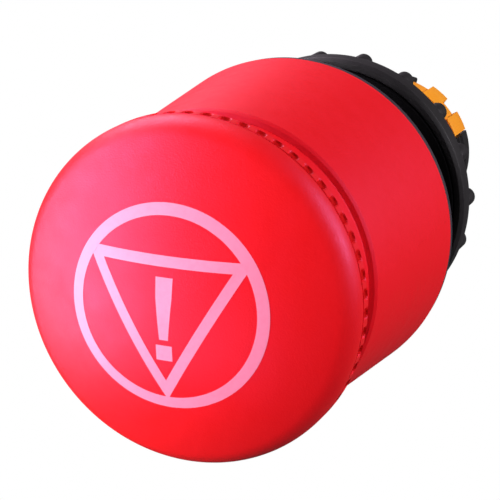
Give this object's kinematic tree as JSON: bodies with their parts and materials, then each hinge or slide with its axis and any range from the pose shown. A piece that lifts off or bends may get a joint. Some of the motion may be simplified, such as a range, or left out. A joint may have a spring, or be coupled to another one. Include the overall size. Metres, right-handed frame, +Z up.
{
  "type": "emergency stop button",
  "caption": "Red mushroom push button operator for a panel hole: push to trip and latch, pull to reset, with collar, seal, threaded stem, ring nut and rear drive crown.",
  "frame": {"origin": "centre of the panel hole on the panel's front face, where the gasket seats", "axes": "+Y runs along the push axis from the operator's hand to the rear of the panel, +X is to the right as the operator sees the head, +Z is up when the panel is upright"},
  "size_m": [0.0394, 0.0781, 0.0394],
  "materials": {
    "cap_red": "satin moulded plastic, signal red",
    "collar_red": "satin moulded plastic, slightly deeper signal red",
    "black_plastic": "matt black moulded plastic",
    "nut_black": "fine-grained black moulded plastic",
    "washer_black": "dead matt black plastic",
    "yellow_plastic": "matt moulded plastic, signal yellow",
    "white_plastic": "natural white acetal",
    "rubber_black": "black nitrile rubber",
    "rubber_grey": "dark grey nitrile rubber",
    "steel": "turned steel",
    "spring_steel": "drawn spring wire",
    "brass": "turned brass"
  },
  "bodies": {
    "base": {"stem_body": "black_plastic", "collar": "collar_red", "panel_gasket": "rubber_grey", "wiper_seal": "rubber_black", "seal_retainer": "black_plastic", "collar_snap_ring": "spring_steel", "front_bush": "white_plastic", "spring_washer": "steel", "trip_spring": "spring_steel", "jaw_cage": "white_plastic", "rear_bush": "white_plastic", "jaw_spring_right": "spring_steel", "jaw_spring_left": "spring_steel"},
    "head": {"mushroom_cap": "cap_red", "cap_insert": "brass", "cap_hub": "black_plastic", "plunger_shaft": "steel", "latch_cam": "steel", "cam_pin": "steel", "drive_crown": "yellow_plastic", "crown_pin": "steel"},
    "jaw_right": {"latch_jaw_right": "steel"},
    "jaw_left": {"latch_jaw_left": "steel"},
    "washer": {"thrust_washer": "washer_black"},
    "nut": {"ring_nut": "nut_black"}
  },
  "joints": [
    {"name": "head_press", "type": "slide", "parent": "base", "child": "head", "axis": [0, 1, 0], "range_m": [0, 0.004], "deforming": ["trip_spring"]},
    {"name": "jaw_right_slide", "type": "slide", "parent": "base", "child": "jaw_right", "axis": [1, 0, 0], "range_m": [0, 0.00081], "deforming": ["jaw_spring_right"]},
    {"name": "jaw_left_slide", "type": "slide", "parent": "base", "child": "jaw_left", "axis": [-1, 0, 0], "range_m": [0, 0.00081], "deforming": ["jaw_spring_left"]},
    {"name": "washer_travel", "type": "slide", "parent": "base", "child": "washer", "axis": [0, 1, 0], "range_m": [-0.01051, 0.03751]},
    {"name": "nut_turn", "type": "hinge", "parent": "washer", "child": "nut", "pos_m": [0, 0.0119, 0], "axis": [0, 1, 0], "range_deg": [-2520, 9000]}
  ],
  "couplings": [
    {"joint": "jaw_right_slide", "follows": "head_press", "ratio": 0.2},
    {"joint": "jaw_left_slide", "follows": "head_press", "ratio": 0.2},
    {"joint": "washer_travel", "follows": "nut_turn", "m_per_rad": 0.00023873}
  ]
}
